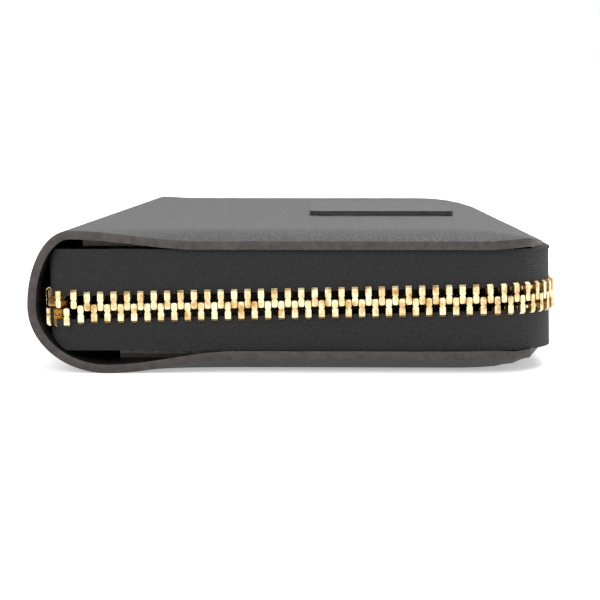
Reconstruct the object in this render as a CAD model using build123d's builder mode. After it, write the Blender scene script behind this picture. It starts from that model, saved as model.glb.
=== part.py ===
from build123d import *
from dataclasses import dataclass
from math import pi
import os

# A long zip-around wallet, closed and lying on its back cover. Millimetres.
# X runs from the folded spine (-) to the zip's long side (+), Y along the spine, Z up.
# The origin is the middle of the flat face that the wallet rests on.

# ---- the whole wallet ----
wallet_depth = 100.0  # spine to the outer face of the zip teeth, along X
wallet_length = 190.0  # end to end, along Y
wallet_thickness = 26.7  # back cover to front cover, where the wallet is fullest

# ---- covers ----
leather = 1.6
back_roll = 2.6  # how far the back cover's edge curls up
front_roll = 1.9  # how far the front cover's edge curls down
roll_width = 10.0  # the strip along the edge that curls
cover_corner = 12.0
zip_overhang = 2.7  # how far the zip stands outside the leather on the long side
spine_height = 12.6  # where the folded spine is widest
spine_back_reach = 15.0  # how far the fold runs in under the wallet
spine_front_reach = 8.0  # and how far it runs in over it

# ---- boards and linings ----
board = 0.8
board_margin = 1.0  # board edge to the strip that curls
lining = 0.3
lining_margin = 2.0
spine_lining_gap = 0.4
spine_lining_margin = 17.0  # leaves the ends of the zip free

# ---- the line of the main zip ----
tape_hem = 8.0  # the part of the tape that is sewn under the lining
chain_height = 13.1
chain_tilt = 0.021  # the chain climbs by this much per mm towards the long side
chain_corner = 15.0
spine_to_chain_end = 4.0
end_turn = 4.0  # radius where the chain turns into the wallet beside the spine
end_run = 8.0  # straight length after that turn
end_splay = 0.62  # how far each row of teeth spreads there
stop_length = 1.6
stop_gap = 0.7  # slider to stop
slider_from_spine = 17.0  # spine to the slider's middle when the zip is closed

# ---- card rows ----
card_leather = 0.45
card_rows = 4
card_step = 12.0
card_row_length = 168.0
card_bottom = 16.0  # measured from the spine
card_top = 88.0

# ---- coin pocket ----
coin_wall = 0.6
coin_room = 4.4  # free height inside the pocket
coin_length = 168.0
coin_bottom = 14.0  # measured from the spine
coin_mouth = 80.0
coin_binding = 1.2
coin_slider_from_end = 16.0

# ---- gussets and patch ----
gusset = 1.2
gusset_from_end = 6.8
gusset_bottom = 12.0  # measured from the spine
gusset_top = 60.0
patch_length = 60.0
patch_width = 32.0
patch_thickness = 1.0
patch_offset = 18.0  # the patch's middle, from the wallet's middle towards the long side

# ---- clearances ----
slot_clearance = 0.1  # tape in the slot of a tooth, stop or slider, each side
running = 0.12  # a puller beside its slider
sliding = 0.15  # a chain inside its slider


@dataclass
class Zip:
    """The sizes of one zip's tape, teeth, slider and puller."""

    pitch: float
    half_width: float  # middle of the closed chain to the back of a tooth
    tooth_width: float
    tooth_depth: float
    overlap: float  # how far a tooth's head passes the chain's middle
    slot_start: float  # where a tooth's two legs part, from the chain's middle
    tape: float
    tape_edge: float  # the tape's edge, from the chain's middle
    slider_length: float
    plate: float
    lip: float
    wedge_length: float  # the post that parts the rows
    wedge_width: float
    bail_width: float
    bail_length: float
    bail_wall: float
    puller_length: float
    puller_width: float
    puller_thickness: float


main_zip = Zip(
    pitch=2.5,
    half_width=2.95,
    tooth_width=1.1,
    tooth_depth=2.4,
    overlap=0.58,
    slot_start=1.5,
    tape=0.5,
    tape_edge=2.2,
    slider_length=11.0,
    plate=0.9,
    lip=1.0,
    wedge_length=1.8,
    wedge_width=2.6,
    bail_width=1.6,
    bail_length=7.0,
    bail_wall=0.8,
    puller_length=27.0,
    puller_width=5.6,
    puller_thickness=1.0,
)
coin_zip = Zip(
    pitch=2.0,
    half_width=1.5,
    tooth_width=0.85,
    tooth_depth=1.4,
    overlap=0.4,
    slot_start=0.75,
    tape=0.4,
    tape_edge=1.1,
    slider_length=6.4,
    plate=0.6,
    lip=0.45,
    wedge_length=1.2,
    wedge_width=1.4,
    bail_width=1.0,
    bail_length=4.6,
    bail_wall=0.6,
    puller_length=12.0,
    puller_width=3.4,
    puller_thickness=0.8,
)

# ---- places that follow from the sizes ----
half_length = wallet_length / 2
spine_x = -wallet_depth / 2
leather_x = wallet_depth / 2 - zip_overhang
back_seam_x = spine_x + spine_back_reach
front_seam_x = spine_x + spine_front_reach
back_inner = back_roll + leather
front_inner = wallet_thickness - front_roll - leather
tape_x = (wallet_depth - main_zip.tooth_depth) / 2
tape_y = (wallet_length - main_zip.tooth_depth) / 2
chain_end_x = spine_x + spine_to_chain_end
chain_plane = Plane(origin=(0, 0, chain_height), x_dir=(1, 0, chain_tilt), z_dir=(-chain_tilt, 0, 1))
back_cards = back_inner + main_zip.tape + lining
front_cards = front_inner - main_zip.tape - lining
slider_x = spine_x + slider_from_spine
coin_height = (back_cards + front_cards) / 2
coin_half = coin_room / 2 + coin_wall
coin_left = spine_x + coin_bottom
coin_right = spine_x + coin_mouth
coin_tape_x = coin_right - coin_zip.tape / 2

os.makedirs("parts", exist_ok=True)


def write(piece, name):
    piece.part.label = name
    export_step(piece.part, f"parts/{name}.step")


def panel_outline(left, right, half, corner):
    """A flat panel: square at the spine, rounded at its two outer corners."""
    with BuildSketch() as outline:
        with Locations(((left + right) / 2, 0)):
            Rectangle(right - left, 2 * half)
        fillet(outline.vertices().group_by(Axis.X)[-1], corner)
    return outline.sketch


# ---- covers ----
def curled_block(left, roll, height):
    """A block as wide as a cover, bevelled below where the cover's edge curls."""
    with BuildPart() as block:
        with BuildSketch():
            add(panel_outline(left, leather_x, half_length, cover_corner))
        extrude(amount=height)
        base = block.faces().sort_by(Axis.Z)[0]
        free_edges = base.edges().sort_by(Axis.X)[1:]
        chamfer(free_edges, length=roll_width, length2=roll, reference=base)
    return block.part


def curled_cover(left, roll):
    """A leather panel that is flat in the middle and curls at its three free edges."""
    with BuildPart() as panel:
        add(curled_block(left, roll, roll + leather))
        with Locations((0, 0, leather)):
            add(curled_block(left, roll, roll + leather), mode=Mode.SUBTRACT)
    return panel.part


with BuildPart() as cover_back:
    add(curled_cover(back_seam_x, back_roll))
write(cover_back, "cover_back")

with BuildPart() as cover_front:
    with Locations(Location((0, 0, wallet_thickness), (180, 0, 0))):
        add(curled_cover(front_seam_x, front_roll))
write(cover_front, "cover_front")


def spine_fold(inset):
    """The space inside the folded spine, this far inside its outer face."""
    center_back = (back_seam_x, spine_height)
    center_front = (front_seam_x, spine_height)
    back_rise = spine_height - inset
    front_rise = wallet_thickness - spine_height - inset
    with BuildSketch() as fold:
        with BuildLine():
            back = EllipticalCenterArc(center_back, spine_back_reach - inset, back_rise, 180)
            front = EllipticalCenterArc(center_front, spine_front_reach - inset, front_rise, 90)
            Polyline(front @ 0, center_front, center_back, back @ 1)
        make_face()
    return fold.sketch


def spine_strip(inset, thickness, half):
    """A strip of one thickness that follows the folded spine."""
    with BuildPart() as strip:
        with BuildSketch(Plane.XZ):
            add(spine_fold(inset))
            add(spine_fold(inset + thickness), mode=Mode.SUBTRACT)
        extrude(amount=half, both=True)
    return strip.part


with BuildPart() as cover_spine:
    add(spine_strip(0, leather, half_length))
write(cover_spine, "cover_spine")

with BuildPart() as spine_lining:
    add(spine_strip(leather + spine_lining_gap, lining, half_length - spine_lining_margin))
write(spine_lining, "spine_lining")

with BuildPart() as top_patch:
    with BuildSketch(Plane.XY.offset(wallet_thickness)):
        with Locations((patch_offset, 0)):
            RectangleRounded(patch_width, patch_length, 2 * patch_thickness)
    extrude(amount=patch_thickness)
write(top_patch, "top_patch")


# ---- boards, padding and linings ----
def flat_sheet(seam_x, base, thickness):
    """A sheet that covers the part of a cover that stays flat, less a margin."""
    inset = roll_width + board_margin
    with BuildPart() as sheet:
        with BuildSketch(Plane.XY.offset(base)):
            add(
                panel_outline(
                    seam_x + board_margin,
                    leather_x - inset,
                    half_length - inset,
                    cover_corner - roll_width,
                )
            )
        extrude(amount=thickness)
    return sheet


write(flat_sheet(back_seam_x, leather, board), "board_back")
write(flat_sheet(back_seam_x, leather + board, back_roll - board), "padding_back")
write(flat_sheet(front_seam_x, wallet_thickness - leather, -board), "board_front")
write(flat_sheet(front_seam_x, front_inner, front_roll - board), "padding_front")


def lining_sheet(base):
    """The lining of one half, laid over the sewn hem of the zip tape."""
    with BuildPart() as sheet:
        with BuildSketch(Plane.XY.offset(base)):
            add(
                panel_outline(
                    back_seam_x - lining_margin,
                    leather_x - lining_margin,
                    half_length - lining_margin,
                    cover_corner - lining_margin,
                )
            )
        extrude(amount=lining)
    return sheet


write(lining_sheet(back_cards - lining), "lining_back")
write(lining_sheet(front_cards), "lining_front")


# ---- card rows: stepped leather strips on each lining ----
def card_row(row, base, direction):
    """Row 0 lies on the lining and reaches furthest. Each next one stops a step short."""
    left = spine_x + card_bottom
    right = spine_x + card_top - row * card_step
    with BuildPart() as strip:
        with BuildSketch(Plane.XY.offset(base + direction * row * card_leather)):
            with Locations(((left + right) / 2, 0)):
                Rectangle(right - left, card_row_length)
        extrude(amount=direction * card_leather)
    return strip


for row in range(card_rows):
    write(card_row(row, back_cards, 1), f"back_card_row_{row + 1}")
    write(card_row(row, front_cards, -1), f"front_card_row_{row + 1}")


# ---- zip pieces shared by both zips ----
def tooth(zip):
    """One tooth: its head crosses the chain's middle, its legs stand astride the tape."""
    middle = (zip.half_width - zip.overlap) / 2
    waist_z = zip.overlap + zip.tooth_width / 3
    waist_radius = zip.tooth_width / 4
    with BuildPart() as element:
        with BuildSketch(Plane.XZ) as profile:
            with Locations((0, middle)):
                Rectangle(zip.tooth_width, zip.half_width + zip.overlap)
            fillet(profile.vertices().group_by(Axis.Y)[0], zip.tooth_width / 3)
            with Locations((-zip.tooth_width / 2 - waist_radius / 2, waist_z)):
                Circle(waist_radius, mode=Mode.SUBTRACT)
            with Locations((zip.tooth_width / 2 + waist_radius / 2, waist_z)):
                Circle(waist_radius, mode=Mode.SUBTRACT)
        extrude(amount=zip.tooth_depth / 2, both=True)
        slot_length = zip.half_width - zip.slot_start
        with Locations((0, 0, zip.slot_start + slot_length / 2)):
            Box(zip.tooth_width, zip.tape + 2 * slot_clearance, slot_length, mode=Mode.SUBTRACT)
        leg_ends = element.faces().sort_by(Axis.Z)[-2:]
        rims = [edge for edge in leg_ends.edges().filter_by(Axis.X) if abs(edge.center().Y) > zip.tape]
        chamfer(rims, zip.tooth_depth / 6)
    return element.part


def stop(zip, length):
    """A clip on one tape's edge that the slider comes up against."""
    width = zip.half_width - zip.slot_start / 2
    with BuildPart() as clip:
        with Locations((0, 0, zip.half_width - width / 2)):
            Box(length, zip.tooth_depth, width)
        slot_length = zip.half_width - zip.slot_start
        with Locations((0, 0, zip.slot_start + slot_length / 2)):
            Box(length, zip.tape + 2 * slot_clearance, slot_length, mode=Mode.SUBTRACT)
        fillet(clip.edges().filter_by(Axis.X).group_by(Axis.Z)[0], zip.tooth_depth / 6)
    return clip.part


def slider(zip):
    """A slider's body. Its rows part towards -X, and its outer plate faces +Y."""
    inner = zip.tooth_depth / 2 + slot_clearance
    outer = inner + zip.plate
    room = zip.half_width + sliding
    half_width = room + zip.lip
    with BuildPart() as body:
        with BuildSketch(Plane.YZ):
            Rectangle(2 * outer, 2 * half_width)
            Rectangle(2 * inner, 2 * room, mode=Mode.SUBTRACT)
            Rectangle(zip.tape + 2 * slot_clearance, 2 * half_width, mode=Mode.SUBTRACT)
        extrude(amount=zip.slider_length / 2, both=True)
        with BuildSketch(Plane.XZ):
            RectangleRounded(zip.slider_length, 2 * half_width, 2 * zip.lip - running)
        extrude(amount=outer, both=True, mode=Mode.INTERSECT)
        with BuildSketch(Plane.XZ):
            with Locations((wedge_middle(zip), 0)):
                RectangleRounded(zip.wedge_length, zip.wedge_width, zip.wedge_length / 3)
        extrude(amount=inner + zip.plate / 2, both=True)
    return body.part


def wedge_middle(zip):
    """Where the post stands that parts the rows, along the slider."""
    return (zip.wedge_length - zip.slider_length) / 2 + zip.plate / 2


def outer_plate(zip):
    """The height of a slider's outer face above the middle of its tape."""
    return zip.tooth_depth / 2 + slot_clearance + zip.plate


def tunnel_height(zip):
    """The free height under the bail, for the puller's crossbar."""
    return zip.puller_thickness + 2 * running


def bail(zip):
    """The arch on the slider's outer plate that holds the puller."""
    height = tunnel_height(zip) + zip.bail_wall
    tunnel = zip.bail_length - 2 * zip.bail_wall
    with BuildPart() as arch:
        with BuildSketch() as side:
            with Locations((0, outer_plate(zip) + height / 2)):
                Rectangle(zip.bail_length, height)
            fillet(side.vertices().group_by(Axis.Y)[-1], zip.bail_wall)
            with Locations((0, outer_plate(zip) + tunnel_height(zip) / 2)):
                Rectangle(tunnel, tunnel_height(zip), mode=Mode.SUBTRACT)
        extrude(amount=zip.bail_width / 2, both=True)
    return arch.part


def pivot_height(zip):
    """The puller's pivot above the middle of the tape."""
    return outer_plate(zip) + tunnel_height(zip) / 2


def puller(zip):
    """A flat metal tab with a window round the bail and a round crossbar under it."""
    side_bar = (zip.puller_width - zip.bail_width) / 2 - 2 * running
    window = zip.bail_length / 2 + 2 * zip.bail_wall
    face = Plane(origin=(0, pivot_height(zip), 0), x_dir=(1, 0, 0), z_dir=(0, 1, 0))
    with BuildPart() as tab:
        with BuildSketch(face) as outline:
            with Locations((zip.puller_length / 2, 0)):
                Rectangle(zip.puller_length, zip.puller_width)
            fillet(outline.vertices().group_by(Axis.X)[-1], zip.puller_width / 2.5)
            with Locations((window / 2, 0)):
                Rectangle(window, zip.puller_width - 2 * side_bar, mode=Mode.SUBTRACT)
            with Locations((zip.puller_length - zip.puller_width / 2, 0)):
                Circle(zip.puller_width / 5, mode=Mode.SUBTRACT)
        extrude(amount=zip.puller_thickness / 2, both=True)
        with Locations((0, pivot_height(zip), 0)):
            Cylinder(zip.puller_thickness / 2, zip.puller_width)
    return tab.part


# ---- main zip: the line that both rows of teeth follow ----
def chain_route():
    """From inside the near end, out beside the spine, round three sides and back in."""
    end_y = tape_y - end_turn - end_run
    return FilletPolyline(
        (chain_end_x, -end_y),
        (chain_end_x, -tape_y),
        (tape_x, -tape_y),
        (tape_x, tape_y),
        (chain_end_x, tape_y),
        (chain_end_x, end_y),
        radius=[end_turn, chain_corner, chain_corner, end_turn],
    )


with BuildLine() as chain:
    chain_route()
chain_wire = chain.wire()
splay_ends = end_run + end_turn * pi / 2


def chain_point(distance):
    return chain_wire.position_at(distance, position_mode=PositionMode.LENGTH)


def on_chain(distance, side):
    """The place of a piece on the upper (+1) or lower (-1) tape, this far along the zip."""
    along = chain_wire.tangent_at(distance, position_mode=PositionMode.LENGTH)
    spread = min(max((splay_ends + main_zip.pitch - distance) / main_zip.pitch, 0), 1) * end_splay
    spot = Plane(origin=chain_point(distance), x_dir=along, z_dir=(0, 0, side))
    return chain_plane.location * spot.offset(spread).location


def tooth_places(side, in_slider_run):
    """Places of one tape's teeth: those in the slider's straight run, or all the others."""
    row_shift = main_zip.pitch / 2 if side > 0 else 0
    teeth_end_x = slider_x + wedge_middle(main_zip) + main_zip.wedge_length
    places = []
    for index in range(int(chain_wire.length / main_zip.pitch)):
        distance = (index + 1 / 2) * main_zip.pitch + row_shift
        point = chain_point(distance)
        far_side = point.Y > 0 and point.X < tape_x - chain_corner
        kept = not far_side or (point.Y > tape_y - slot_clearance and point.X > teeth_end_x)
        if kept and far_side == in_slider_run:
            places.append(on_chain(distance, side))
    return places


def tooth_row(side, in_slider_run):
    with BuildPart() as row:
        with Locations(*tooth_places(side, in_slider_run)):
            add(tooth(main_zip))
    return row


write(tooth_row(1, False), "zip_teeth_upper")
write(tooth_row(-1, False), "zip_teeth_lower")
write(tooth_row(1, True), "zip_teeth_upper_slider_run")
write(tooth_row(-1, True), "zip_teeth_lower_slider_run")


def hem_ring():
    """The sewn hem of the tape, seen from above: a band along the three zipped sides."""
    edge = main_zip.tape / 2
    with BuildSketch() as ring:
        add(panel_outline(back_seam_x, tape_x + edge, tape_y + edge, chain_corner + edge))
        add(
            panel_outline(
                back_seam_x,
                tape_x + edge - tape_hem,
                tape_y + edge - tape_hem,
                chain_corner + edge - tape_hem,
            ),
            mode=Mode.SUBTRACT,
        )
    return ring.sketch


def zip_tape(side, hem_face, hem_direction):
    """One tape: a wall that carries its row of teeth, and the hem that is sewn in."""
    with BuildPart() as band:
        with BuildSketch(chain_plane.offset(side * main_zip.tape_edge)):
            with BuildLine():
                chain_route()
            trace(line_width=main_zip.tape)
        extrude(amount=side * wallet_thickness / 2)
        split(
            bisect_by=Plane.XY.offset(hem_face),
            keep=Keep.BOTTOM if side > 0 else Keep.TOP,
        )
        with BuildSketch(Plane.XY.offset(hem_face)):
            add(hem_ring())
        extrude(amount=hem_direction * main_zip.tape)
        add(spine_strip(0, leather + spine_lining_gap, half_length), mode=Mode.SUBTRACT)
    return band


write(zip_tape(1, front_inner, -1), "zip_tape_upper")
write(zip_tape(-1, back_inner, 1), "zip_tape_lower")

slider_place = chain_plane.location * Location((slider_x, tape_y, 0))
stop_x = slider_x - main_zip.slider_length / 2 - stop_gap - stop_length / 2
stop_place = chain_plane.location * Location((stop_x, tape_y, 0))
turned_down = Location((0, 0, 0), (180, 0, 0))

with BuildPart() as top_stop_upper:
    with Locations(stop_place):
        add(stop(main_zip, stop_length))
write(top_stop_upper, "top_stop_upper")

with BuildPart() as top_stop_lower:
    with Locations(stop_place * turned_down):
        add(stop(main_zip, stop_length))
write(top_stop_lower, "top_stop_lower")

with BuildPart() as zip_slider:
    with Locations(slider_place):
        add(slider(main_zip))
write(zip_slider, "zip_slider")

with BuildPart() as zip_slider_bail:
    with Locations(slider_place):
        add(bail(main_zip))
write(zip_slider_bail, "zip_slider_bail")

with BuildPart() as zip_puller:
    with Locations(slider_place):
        add(puller(main_zip))
write(zip_puller, "zip_puller")


# ---- coin pocket ----
def coin_panel(base):
    with BuildPart() as panel:
        with BuildSketch(Plane.XY.offset(base)):
            with Locations(((coin_left + coin_right) / 2, 0)):
                Rectangle(coin_right - coin_left, coin_length)
        extrude(amount=coin_wall)
    return panel


write(coin_panel(coin_height - coin_half), "coin_wall_back")
write(coin_panel(coin_height + coin_room / 2), "coin_wall_front")

with BuildPart() as coin_pocket_binding:
    with BuildSketch(Plane.XY.offset(coin_height - coin_room / 2)):
        with Locations(((coin_left + coin_right) / 2, 0)):
            Rectangle(coin_right - coin_left, coin_length)
        with Locations(((coin_left + coin_right + coin_binding) / 2, 0)):
            Rectangle(
                coin_right - coin_left - coin_binding,
                coin_length - 2 * coin_binding,
                mode=Mode.SUBTRACT,
            )
    extrude(amount=coin_room)
write(coin_pocket_binding, "coin_pocket_binding")

coin_tape_length = coin_length - 2 * coin_binding
coin_frame = Plane(origin=(coin_tape_x, 0, coin_height), x_dir=(0, -1, 0), z_dir=(0, 0, 1))


def coin_tape(side):
    width = coin_room / 2 - coin_zip.tape_edge
    with BuildPart() as band:
        with Locations((coin_tape_x, 0, coin_height + side * (coin_zip.tape_edge + width / 2))):
            Box(coin_zip.tape, coin_tape_length, width)
    return band


write(coin_tape(1), "coin_tape_front")
write(coin_tape(-1), "coin_tape_back")

coin_slider_y = coin_length / 2 - coin_slider_from_end
coin_slider_place = coin_frame.location * Location((-coin_slider_y, 0, 0))
coin_chain_start = -coin_slider_y + wedge_middle(coin_zip) + coin_zip.wedge_length
coin_chain_end = coin_tape_length / 2 - coin_zip.pitch

with BuildPart() as coin_zip_teeth:
    coin_teeth_count = int((coin_chain_end - coin_chain_start) / coin_zip.pitch)
    front_row = [
        coin_frame.location * Location((coin_chain_start + index * coin_zip.pitch, 0, 0))
        for index in range(coin_teeth_count)
    ]
    half_step = Location((coin_zip.pitch / 2, 0, 0))
    back_row = [place * half_step * turned_down for place in front_row]
    with Locations(*front_row, *back_row):
        add(tooth(coin_zip))
write(coin_zip_teeth, "coin_zip_teeth")

coin_stop_start = -coin_slider_y - coin_zip.slider_length / 2 - stop_gap - stop_length / 2
coin_stop_places = [
    coin_frame.location * Location((coin_stop_start, 0, 0)),
    coin_frame.location * Location((coin_stop_start, 0, 0)) * turned_down,
]

with BuildPart() as coin_zip_stops:
    with Locations(*coin_stop_places):
        add(stop(coin_zip, stop_length))
write(coin_zip_stops, "coin_zip_stops")

with BuildPart() as coin_slider:
    with Locations(coin_slider_place):
        add(slider(coin_zip))
write(coin_slider, "coin_slider")

with BuildPart() as coin_slider_bail:
    with Locations(coin_slider_place):
        add(bail(coin_zip))
write(coin_slider_bail, "coin_slider_bail")

with BuildPart() as coin_puller:
    with Locations(coin_slider_place):
        add(puller(coin_zip))
write(coin_puller, "coin_puller")


# ---- gussets: folded leather fans that join the halves at both ends ----
def end_gusset(side):
    middle_x = spine_x + (gusset_bottom + gusset_top) / 2
    middle_y = side * (half_length - gusset_from_end - gusset / 2)
    with BuildPart() as fan:
        with Locations((middle_x, middle_y, coin_height)):
            Box(gusset_top - gusset_bottom, gusset, front_cards - back_cards)
    return fan


write(end_gusset(-1), "gusset_near")
write(end_gusset(1), "gusset_far")
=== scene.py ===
import bpy
from math import cos, pi, sin, sqrt
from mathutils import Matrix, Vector


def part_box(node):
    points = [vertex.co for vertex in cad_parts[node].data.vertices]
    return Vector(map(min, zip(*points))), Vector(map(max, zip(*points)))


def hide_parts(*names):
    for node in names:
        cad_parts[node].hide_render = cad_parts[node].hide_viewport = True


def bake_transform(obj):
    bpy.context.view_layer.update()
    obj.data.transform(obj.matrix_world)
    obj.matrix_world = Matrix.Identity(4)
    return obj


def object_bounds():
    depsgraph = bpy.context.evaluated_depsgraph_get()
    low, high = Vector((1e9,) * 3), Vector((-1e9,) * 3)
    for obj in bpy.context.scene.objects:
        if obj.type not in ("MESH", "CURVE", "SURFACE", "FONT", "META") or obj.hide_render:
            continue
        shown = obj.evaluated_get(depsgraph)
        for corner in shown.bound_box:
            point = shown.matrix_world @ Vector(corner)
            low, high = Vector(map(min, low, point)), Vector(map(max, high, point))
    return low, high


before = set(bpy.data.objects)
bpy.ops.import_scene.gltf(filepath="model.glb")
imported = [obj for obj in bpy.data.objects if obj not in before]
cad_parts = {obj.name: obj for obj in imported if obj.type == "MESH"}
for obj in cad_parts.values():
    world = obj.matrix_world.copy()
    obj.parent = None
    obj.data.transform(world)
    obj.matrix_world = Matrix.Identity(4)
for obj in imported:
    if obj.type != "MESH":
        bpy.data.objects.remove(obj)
cad_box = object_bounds()

# A long zip-around wallet, closed and lying on its back cover. Metres, in the frame's axes:
# X from the folded spine to the zip's long side, Y along the spine, Z up.
MM = 0.001


# ---- leather cover ----
# One piece of fine pebbled cowhide, split and folded round the spine. It is dyed through
# black on the grain side, and its cut edge is sealed with dark brown edge paint.
def linear(hex_colour):
    """An sRGB hex colour as linear RGBA."""
    parts = [int(hex_colour[i:i + 2], 16) / 255 for i in (1, 3, 5)]
    return [p / 12.92 if p <= 0.04045 else ((p + 0.055) / 1.055) ** 2.4 for p in parts] + [1]


def node(tree, kind, settings=None, **links):
    """Adds a node. settings are its own properties, links its inputs: a value or a socket."""
    made = tree.nodes.new(kind)
    for name, value in (settings or {}).items():
        setattr(made, name, value)
    for name, value in links.items():
        key = int(name[1:]) if name[0] == "i" and name[1:].isdigit() else name.replace("_", " ")
        if isinstance(value, bpy.types.NodeSocket):
            tree.links.new(value, made.inputs[key])
        else:
            made.inputs[key].default_value = value
    return made


def material(name):
    made = bpy.data.materials.new(name)
    made.use_nodes = True
    made.node_tree.nodes.clear()
    return made, made.node_tree


def finish_with(tree, shader):
    node(tree, "ShaderNodeOutputMaterial", Surface=shader.outputs[0])


def ramp(tree, source, low, high, dark, light):
    """Runs a grey value between two colours."""
    made = node(tree, "ShaderNodeValToRGB", Fac=source)
    made.color_ramp.elements[0].position = low
    made.color_ramp.elements[1].position = high
    made.color_ramp.elements[0].color = dark
    made.color_ramp.elements[1].color = light
    return made


def where(tree):
    return node(tree, "ShaderNodeTexCoord").outputs["Object"]


def pebbled_leather(name, dark, light, grain=0.9 * MM, depth=0.10):
    """Semi-matt finished leather: rounded pebbles with fine creases between them."""
    made, tree = material(name)
    pebbles = node(tree, "ShaderNodeTexVoronoi", {"feature": "DISTANCE_TO_EDGE"},
                   Vector=where(tree), Scale=1 / grain)
    soft = node(tree, "ShaderNodeTexNoise", Vector=where(tree), Scale=0.35 / grain, Detail=5.0)
    fine = node(tree, "ShaderNodeTexNoise", Vector=where(tree), Scale=3 / grain, Detail=3.0)
    tint = ramp(tree, soft.outputs["Fac"], 0.35, 0.7, linear(dark), linear(light))
    rough = node(tree, "ShaderNodeMapRange", Value=fine.outputs["Fac"], To_Min=0.38, To_Max=0.56)
    crease = node(tree, "ShaderNodeMapRange", Value=pebbles.outputs["Distance"], From_Max=0.16)
    height = node(tree, "ShaderNodeMath", {"operation": "ADD"}, i0=crease.outputs[0],
                  i1=fine.outputs["Fac"])
    bump = node(tree, "ShaderNodeBump", Height=height.outputs[0], Distance=depth * MM, Strength=0.8)
    shader = node(tree, "ShaderNodeBsdfPrincipled", Base_Color=tint.outputs[0],
                  Roughness=rough.outputs[0], Normal=bump.outputs[0], IOR=1.48)
    finish_with(tree, shader)
    return made


def edge_paint(name, dark, light):
    """Brushed edge paint: a satin brown-black coat, a little uneven along the cut."""
    made, tree = material(name)
    streaks = node(tree, "ShaderNodeTexNoise", Vector=where(tree), Scale=900.0, Detail=4.0)
    tint = ramp(tree, streaks.outputs["Fac"], 0.3, 0.7, linear(dark), linear(light))
    bump = node(tree, "ShaderNodeBump", Height=streaks.outputs["Fac"], Distance=0.06 * MM)
    shader = node(tree, "ShaderNodeBsdfPrincipled", Base_Color=tint.outputs[0], Roughness=0.48,
                  Normal=bump.outputs[0])
    finish_with(tree, shader)
    return made


def mesh_piece(name, points, faces, materials, face_materials=None, smooth=True):
    data = bpy.data.meshes.new(name)
    data.from_pydata([tuple(p) for p in points], [], faces)
    for each in materials:
        data.materials.append(each)
    if face_materials:
        data.polygons.foreach_set("material_index", face_materials)
    data.polygons.foreach_set("use_smooth", [smooth] * len(data.polygons))
    data.update()
    made = bpy.data.objects.new(name, data)
    bpy.context.scene.collection.objects.link(made)
    return made


black_leather = pebbled_leather("pebbled_black_leather", "#101012", "#1e1e21")
painted_edge = edge_paint("brown_black_edge_paint", "#1d1816", "#3b332f")

back_low, back_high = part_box("cover_back")
front_low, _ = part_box("cover_front")
spine_low, spine_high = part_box("cover_spine")
back_seam = back_low[0]
front_seam = front_low[0]
spine_middle = 12.6 * MM  # the height where the folded spine is widest
half_length = spine_high[1]
spine_left = spine_low[0]
cover_right = back_high[0]
cover_top = spine_high[2]
leather = 1.6 * MM
corner = 12 * MM
roll_back = 2.6 * MM
roll_front = 1.9 * MM
roll_ends = 11 * MM  # the strip that curls at both ends
roll_side = 17 * MM  # and along the zip
side_extra = 1.6 * MM  # the covers curl further along the zip than at the ends
curl_power = 2.2
curl_start = 24 * MM  # the end edges curl more with distance from the spine
edge_waver = 0.05 * MM


def edge_rise(x, y):
    """How far a point is into the curl of the end edges, and of the zip side, from 0 to 1."""
    end = max(0, 1 - (half_length - abs(y)) / roll_ends)
    side = max(0, 1 - (cover_right - x) / roll_side)
    return end ** curl_power, side ** curl_power


def section(steps):
    """The cover's outer line seen from one end: under, round the spine and over."""
    line = []
    for k in range(steps):
        line.append((cover_right + (back_seam - cover_right) * k / steps, 0.0, 0))
    for k in range(steps):
        turn = pi / 2 * k / steps
        x = back_seam - (back_seam - spine_left) * sin(turn)
        line.append((x, spine_middle * (1 - cos(turn)), 1))
    for k in range(steps):
        turn = pi / 2 * k / steps
        x = front_seam - (front_seam - spine_left) * cos(turn)
        line.append((x, spine_middle + (cover_top - spine_middle) * sin(turn), 1))
    for k in range(steps + 1):
        line.append((front_seam + (cover_right - front_seam) * k / steps, cover_top, 2))
    return line


def cover_point(x, z, part, share):
    """A point of the outer face: share runs from -1 at the near end to 1 at the far end."""
    past_corner = x - (cover_right - corner)
    cut = corner - sqrt(max(corner ** 2 - past_corner ** 2, 0)) if past_corner > 0 else 0
    y = share * (half_length - cut)
    end, side = edge_rise(x, y)
    seam = back_seam if part == 0 else front_seam
    clear = min(max((x - seam) / curl_start, 0), 1)
    end *= clear * clear * (3 - 2 * clear)
    if part == 0:
        z = z + roll_back * max(end, side) + side_extra * side
    if part == 2:
        z = z - roll_front * max(end, side) - side_extra / 3 * side
    waver = edge_waver * sin(x * 420 + share * 3) * sin(y * 190 + 1) * clear
    return Vector((x, y, z + (abs(waver) if part == 0 else -abs(waver))))


steps_round = 26
steps_long = 90
line = section(steps_round)
rows = []
for k in range(steps_long + 1):
    share = sin(pi / 2 * (2 * k / steps_long - 1))
    rows.append([cover_point(x, z, part, share) for x, z, part in line])


def inward(j):
    """Into the wallet from the outer face, square to the section."""
    x0, z0, _ = line[max(j - 1, 0)]
    x1, z1, _ = line[min(j + 1, len(line) - 1)]
    return Vector((z1 - z0, 0, x0 - x1)).normalized()


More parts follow.
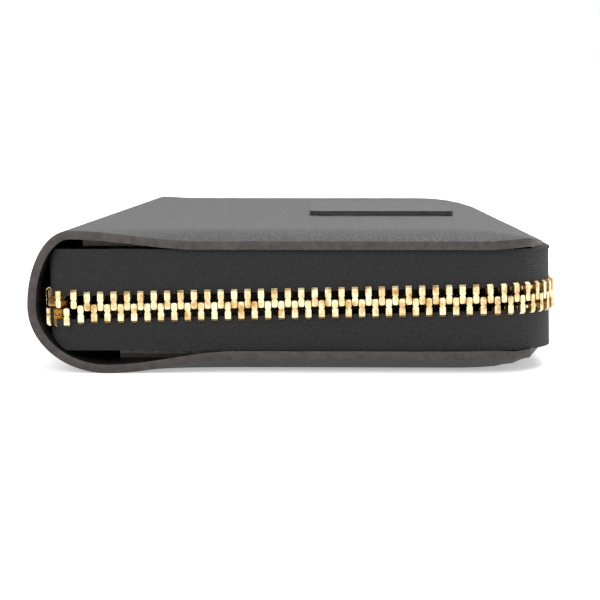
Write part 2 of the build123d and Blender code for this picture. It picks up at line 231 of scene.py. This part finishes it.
points = []
for row in rows:
    points += row
for row in rows:
    points += [p + inward(j) * leather for j, p in enumerate(row)]
across = len(line)
inside = across * (steps_long + 1)
faces = []
face_slots = []
for i in range(steps_long):
    for j in range(across - 1):
        a = i * across + j
        faces.append((a, a + 1, a + across + 1, a + across))
        faces.append((inside + a, inside + a + across, inside + a + across + 1, inside + a + 1))
        face_slots += [0, 0]
for j in range(across - 1):
    for i, turn in ((0, 1), (steps_long, -1)):
        a = i * across + j
        loop = (a, inside + a, inside + a + 1, a + 1)
        faces.append(loop[::turn])
        face_slots.append(1)
for i in range(steps_long):
    for j, turn in ((0, -1), (across - 1, 1)):
        a = i * across + j
        loop = (a, inside + a, inside + a + across, a + across)
        faces.append(loop[::turn])
        face_slots.append(1)
cover = mesh_piece("leather_cover", points, faces, [black_leather, painted_edge], face_slots)
rounded = cover.modifiers.new("worn_edge", "BEVEL")
rounded.width = 0.35 * MM
rounded.segments = 3
rounded.limit_method = "ANGLE"
rounded.angle_limit = 0.9
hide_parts("cover_back", "cover_spine", "cover_front")

# ---- zip tape ----
# Woven polyester tape with a herringbone twill, dyed black. Each tape stands up from the
# cover's edge, where it is sewn under the lining, and carries its own row of teeth.


def herringbone_tape(name, dark, light, thread=0.42 * MM, band=1.1 * MM):
    """Matt twill: ribs that slant one way in one band and the other way in the next."""
    made, tree = material(name)
    place = node(tree, "ShaderNodeSeparateXYZ", Vector=where(tree))
    along = node(tree, "ShaderNodeMath", {"operation": "SUBTRACT"}, i0=place.outputs["X"],
                 i1=place.outputs["Y"])
    zigzag = node(tree, "ShaderNodeMath", {"operation": "PINGPONG"}, i0=place.outputs["Z"], i1=band)
    slant = node(tree, "ShaderNodeMath", {"operation": "ADD"}, i0=along.outputs[0],
                 i1=zigzag.outputs[0])
    phase = node(tree, "ShaderNodeMath", {"operation": "MULTIPLY"}, i0=slant.outputs[0],
                 i1=2 * pi / thread)
    rib = node(tree, "ShaderNodeMath", {"operation": "SINE"}, i0=phase.outputs[0])
    level = node(tree, "ShaderNodeMapRange", Value=rib.outputs[0], From_Min=-1.0)
    fuzz = node(tree, "ShaderNodeTexNoise", Vector=where(tree), Scale=2600.0, Detail=2.0)
    mixed = node(tree, "ShaderNodeMath", {"operation": "MULTIPLY"}, i0=level.outputs[0],
                 i1=fuzz.outputs["Fac"])
    tint = ramp(tree, mixed.outputs[0], 0.1, 0.75, linear(dark), linear(light))
    bump = node(tree, "ShaderNodeBump", Height=level.outputs[0], Distance=0.12 * MM)
    shader = node(tree, "ShaderNodeBsdfPrincipled", Base_Color=tint.outputs[0], Roughness=0.85,
                  Normal=bump.outputs[0], Sheen_Weight=0.05)
    finish_with(tree, shader)
    return made


zip_twill = herringbone_tape("black_herringbone_tape", "#060607", "#2e2e30")


def dress(cad_node, finish):
    """Gives a CAD node its material."""
    slots = bpy.data.objects[cad_node].data.materials
    slots.clear()
    slots.append(finish)


for cad_node in ("zip_tape_upper", "zip_tape_lower", "coin_tape_front", "coin_tape_back"):
    dress(cad_node, zip_twill)

# ---- zip teeth, stops, sliders and pullers ----
# Stamped brass teeth, polished after they are set on the tape. The sliders and pullers are
# die cast and plated in the same yellow brass.


def polished_brass(name, dark, light, roughness):
    """Warm bright metal with faint rub marks, and random patches of painted shade and painted
    highlight.
    """
    made, tree = material(name)
    sheen_and_roughness_noise = node(tree, "ShaderNodeTexNoise", Vector=where(tree), Scale=700.0, Detail=4.0)
    # painted shade and painted highlight: the tint runs at random between a shaded and a lit brass
    # tone, and the same noise makes the darker patches rougher
    tint = ramp(tree, sheen_and_roughness_noise.outputs["Fac"], 0.3, 0.62, linear(dark), linear(light))
    rough = node(tree, "ShaderNodeMapRange", Value=sheen_and_roughness_noise.outputs["Fac"],
                 To_Min=roughness + 0.1, To_Max=roughness - 0.06)
    rub = node(tree, "ShaderNodeTexNoise", Vector=where(tree), Scale=5200.0, Detail=2.0)
    bump = node(tree, "ShaderNodeBump", Height=rub.outputs["Fac"], Distance=0.012 * MM)
    shader = node(tree, "ShaderNodeBsdfPrincipled", Base_Color=tint.outputs[0], Metallic=1.0,
                  Roughness=rough.outputs[0], Normal=bump.outputs[0])
    finish_with(tree, shader)
    return made


# The dark colour is a shaded brass tone and the light one a highlight tone, both painted into the
# base colour.
tooth_brass = polished_brass("polished_tooth_brass", "#b0894a", "#f6e2b6", 0.24)
cast_brass = polished_brass("plated_slider_brass", "#c39a50", "#efcf8c", 0.2)
teeth = ["zip_teeth_upper", "zip_teeth_lower", "zip_teeth_upper_slider_run"]
teeth += ["zip_teeth_lower_slider_run", "coin_zip_teeth"]
for cad_node in teeth:
    dress(cad_node, tooth_brass)
hardware = ["top_stop_upper", "top_stop_lower", "zip_slider", "zip_slider_bail", "zip_puller"]
hardware += ["coin_zip_stops", "coin_slider", "coin_slider_bail", "coin_puller"]
for cad_node in hardware:
    dress(cad_node, cast_brass)

# ---- boards, padding and linings ----
# Grey pressed board and felt sit behind each cover, under a plain woven lining.


def woven_lining(name, dark, light, thread=0.5 * MM):
    """Plain weave with a soft dull face."""
    made, tree = material(name)
    weave = node(tree, "ShaderNodeTexChecker", Vector=where(tree), Scale=1 / thread,
                 Color1=linear(dark), Color2=linear(light))
    bump = node(tree, "ShaderNodeBump", Height=weave.outputs["Fac"], Distance=0.06 * MM)
    shader = node(tree, "ShaderNodeBsdfPrincipled", Base_Color=weave.outputs["Color"],
                  Roughness=0.8, Normal=bump.outputs[0])
    finish_with(tree, shader)
    return made


lining_cloth = woven_lining("black_woven_lining", "#18181a", "#26262a")
pressed_board = edge_paint("grey_pressed_board", "#6b6257", "#84796b")
white_felt = edge_paint("pale_felt_wadding", "#a8a49c", "#c4c0b8")
for cad_node in ("lining_back", "lining_front"):
    dress(cad_node, lining_cloth)
for cad_node in ("board_back", "board_front"):
    dress(cad_node, pressed_board)
for cad_node in ("padding_back", "padding_front"):
    dress(cad_node, white_felt)

# ---- card rows and coin pocket ----
# Thin smooth leather, skived at its edges. The card rows step back from the zip side.
smooth_leather = pebbled_leather("thin_lining_leather", "#161617", "#28282b", 0.6 * MM, 0.05)
inner_leather = [f"{half}_card_row_{k}" for half in ("back", "front") for k in range(1, 5)]
inner_leather += ["coin_wall_back", "coin_wall_front", "coin_pocket_binding", "top_patch"]
for cad_node in inner_leather:
    dress(cad_node, smooth_leather)


# ---- spine lining and end gussets ----
# Soft pieces that bend with the spine: the lining inside the fold, and a pleated leather
# fan at each end that joins the two halves.
def bending_sheet(name, rows_of_points, finish, thickness):
    wide = len(rows_of_points[0])
    points = [p for row in rows_of_points for p in row]
    faces = []
    for i in range(len(rows_of_points) - 1):
        for j in range(wide - 1):
            a = i * wide + j
            faces.append((a, a + 1, a + wide + 1, a + wide))
    made = mesh_piece(name, points, faces, [finish])
    thick = made.modifiers.new("thickness", "SOLIDIFY")
    thick.thickness = thickness
    thick.offset = 0
    bpy.context.view_layer.objects.active = made
    made.select_set(True)
    bpy.ops.object.modifier_apply(modifier="thickness")
    made.select_set(False)
    return made


low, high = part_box("spine_lining")
fold = []
fold_steps = 24
for k in range(fold_steps + 1):
    turn = pi * k / fold_steps - pi / 2
    x = high[0] - (high[0] - low[0]) * cos(turn)
    z = (low[2] + high[2]) / 2 + (high[2] - low[2]) / 2 * sin(turn)
    fold.append([Vector((x, y, z)) for y in (low[1], 0, high[1])])
inner_fold = bending_sheet("spine_lining_cloth", fold, lining_cloth, 0.3 * MM)
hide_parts("spine_lining")
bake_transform(inner_fold)
pleat_folds = 4
pleat_steps = 28
columns = 12
for cad_node in ("gusset_near", "gusset_far"):
    low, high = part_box(cad_node)
    across_x = [low[0] + (high[0] - low[0]) * j / columns for j in range(columns + 1)]
    pleats = []
    for k in range(pleat_steps + 1):
        z = low[2] + (high[2] - low[2]) * k / pleat_steps
        y = low[1] + (high[1] - low[1]) * 0.8 * abs((k / pleat_steps * pleat_folds) % 2 - 1)
        pleats.append([Vector((x, y, z)) for x in across_x])
    fan = bending_sheet(f"{cad_node}_fan", pleats, smooth_leather, 0.4 * MM)
    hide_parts(cad_node)
    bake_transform(fan)
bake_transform(cover)


# ---- floor, light and camera ----
# A white sweep under plain soft light, and a long lens that looks at the short near end.
def sweep_white():
    """White to the camera and in reflections, and a pale floor that keeps the shadow."""
    made, tree = material("white_sweep")
    paint = node(tree, "ShaderNodeBsdfDiffuse", Color=linear("#f7f7f7"))
    rays = node(tree, "ShaderNodeLightPath")
    seen = node(tree, "ShaderNodeMath", {"operation": "MAXIMUM"}, i0=rays.outputs["Is Camera Ray"],
                i1=rays.outputs["Is Glossy Ray"])
    lift = node(tree, "ShaderNodeMath", {"operation": "MULTIPLY"}, i0=seen.outputs[0], i1=0.42)
    glow = node(tree, "ShaderNodeEmission", Strength=lift.outputs[0])
    both = node(tree, "ShaderNodeAddShader", i0=paint.outputs[0], i1=glow.outputs[0])
    finish_with(tree, both)
    return made


floor = mesh_piece("floor", [(-3, -3, 0), (3, -3, 0), (3, 3, 0), (-3, 3, 0)], [(0, 1, 2, 3)],
                   [sweep_white()])
floor.location.z = cad_box[0][2]

world = bpy.data.worlds.new("studio")
bpy.context.scene.world = world
world.use_nodes = True
sky = world.node_tree
sky.nodes.clear()
rays = node(sky, "ShaderNodeLightPath")
seen = node(sky, "ShaderNodeMath", {"operation": "MAXIMUM"}, i0=rays.outputs["Is Camera Ray"],
            i1=rays.outputs["Is Glossy Ray"])
strength = node(sky, "ShaderNodeMapRange", Value=seen.outputs[0], To_Min=0.75, To_Max=1.0)
glow = node(sky, "ShaderNodeBackground", Color=(1, 1, 1, 1), Strength=strength.outputs[0])
node(sky, "ShaderNodeOutputWorld", Surface=glow.outputs[0])


def softbox(name, place, size, power):
    data = bpy.data.lights.new(name, "AREA")
    data.size = size
    data.energy = power
    lamp = bpy.data.objects.new(name, data)
    bpy.context.scene.collection.objects.link(lamp)
    lamp.location = place
    lamp.rotation_euler = (Vector((0, 0, 0)) - Vector(place)).to_track_quat("-Z", "Y").to_euler()


softbox("front_softbox", (-0.25, -0.9, 0.55), 0.5, 5.0)
softbox("top_softbox", (0.2, 0.3, 1.0), 0.8, 8.0)

camera_data = bpy.data.cameras.new("camera")
camera_data.lens = 104.6
camera_data.sensor_width = 36
camera_data.clip_start = 0.01
camera = bpy.data.objects.new("camera", camera_data)
bpy.context.scene.collection.objects.link(camera)
look_down = 5.3 * pi / 180
look_left = 0.95 * pi / 180
camera.location = (6.3 * MM, -half_length - 323 * MM, 43.8 * MM)
camera.rotation_euler = (pi / 2 - look_down, 0, look_left)
bpy.context.scene.camera = camera
bpy.context.scene.view_settings.view_transform = "Standard"
